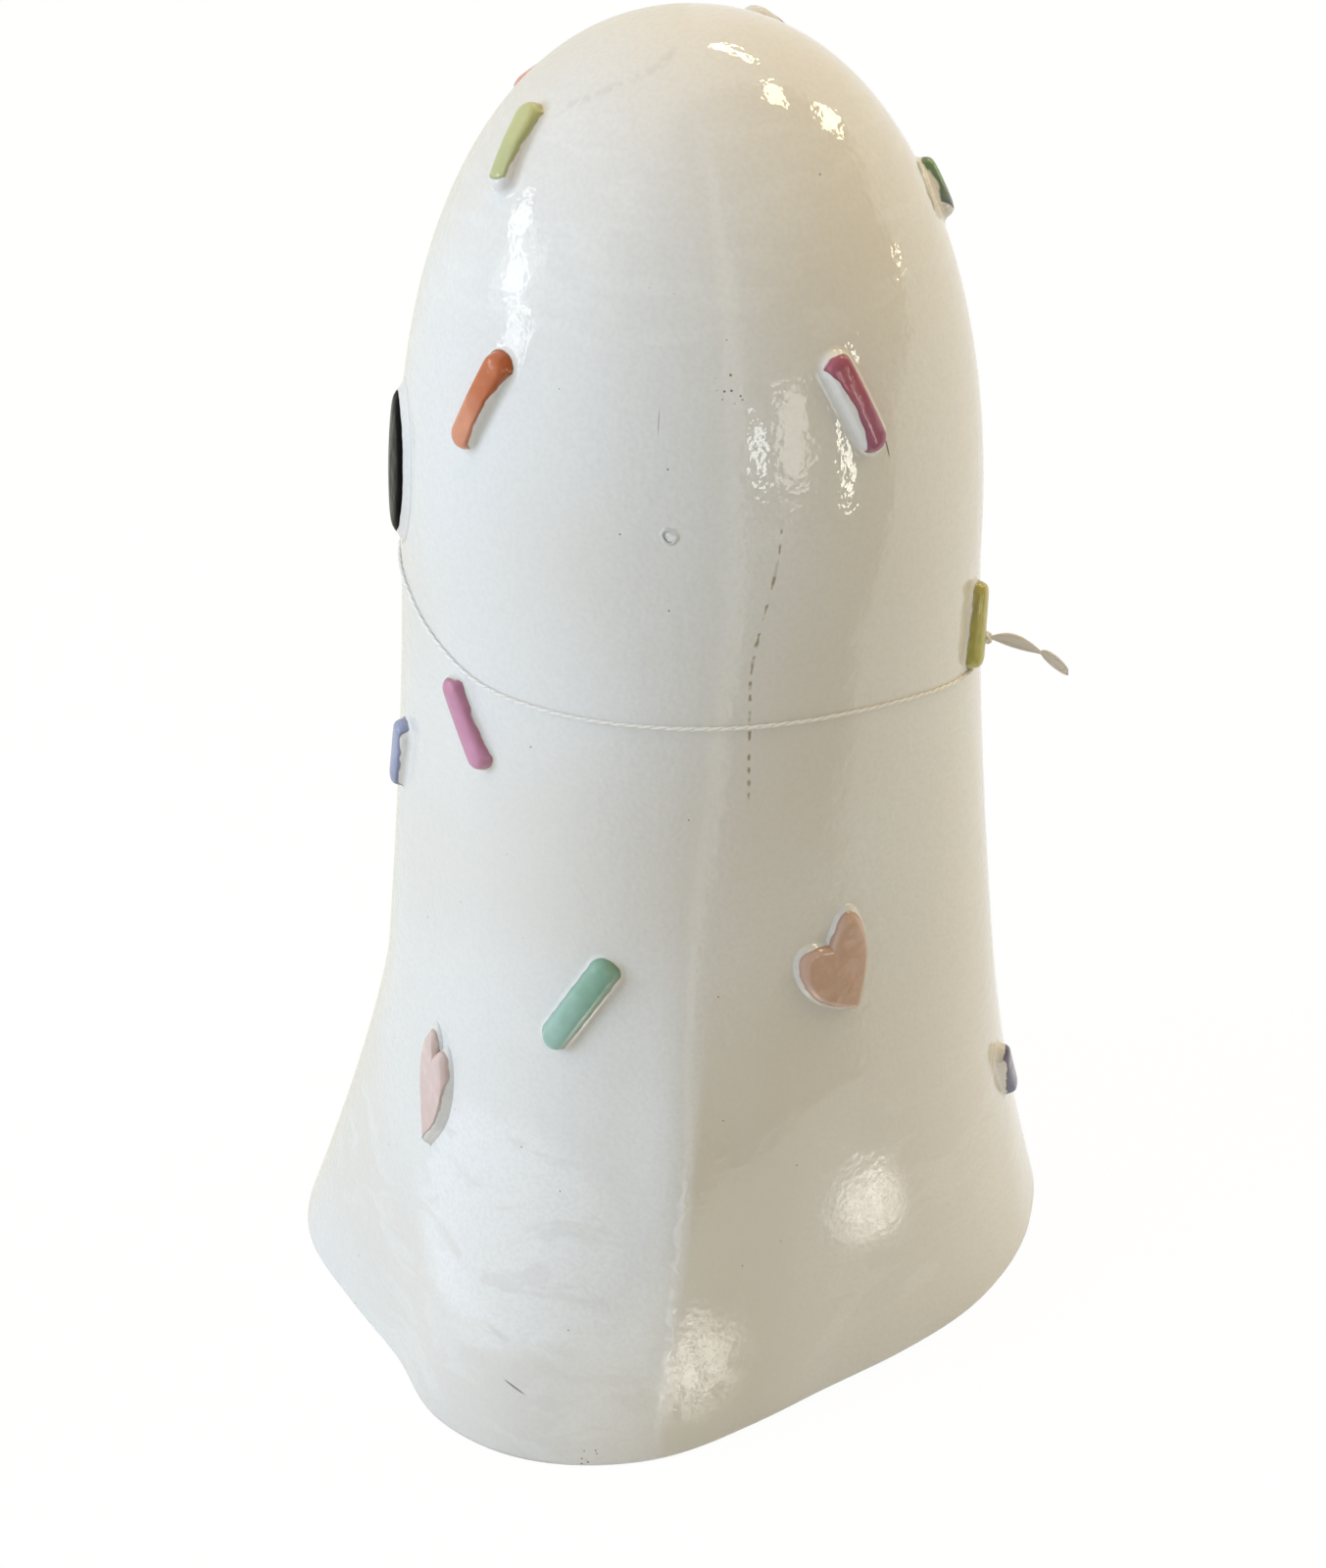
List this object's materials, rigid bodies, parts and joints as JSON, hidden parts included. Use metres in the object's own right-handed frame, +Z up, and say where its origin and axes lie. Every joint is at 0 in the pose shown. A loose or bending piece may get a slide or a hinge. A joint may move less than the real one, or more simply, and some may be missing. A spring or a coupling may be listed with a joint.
{
  "type": "ghost figurine",
  "caption": "Hollow cast tabletop ghost shaped as a draped sheet, white gloss paint, with raised sprinkles, hearts and oval eyes and a string tied round it.",
  "frame": {"origin": "middle of the object's box in plan, on the plane of the rim it stands on", "axes": "+Z up through the crown, -Y the way the face looks, +X the ghost's own left"},
  "size_m": [0.1342, 0.1399, 0.24],
  "materials": {
    "white_gloss": "gloss white enamel over a fired clay casting, with hand-painted raised shapes",
    "white_string": "thin white twisted thread with a flattened end",
    "sprinkle_paint": "gloss hand paint in muted colours on the raised sprinkles and hearts",
    "eye_black": "gloss black hand paint on the raised eyes"
  },
  "bodies": {
    "root": {"ghost_body": "white_gloss", "tie_string": "white_string"}
  },
  "joints": []
}
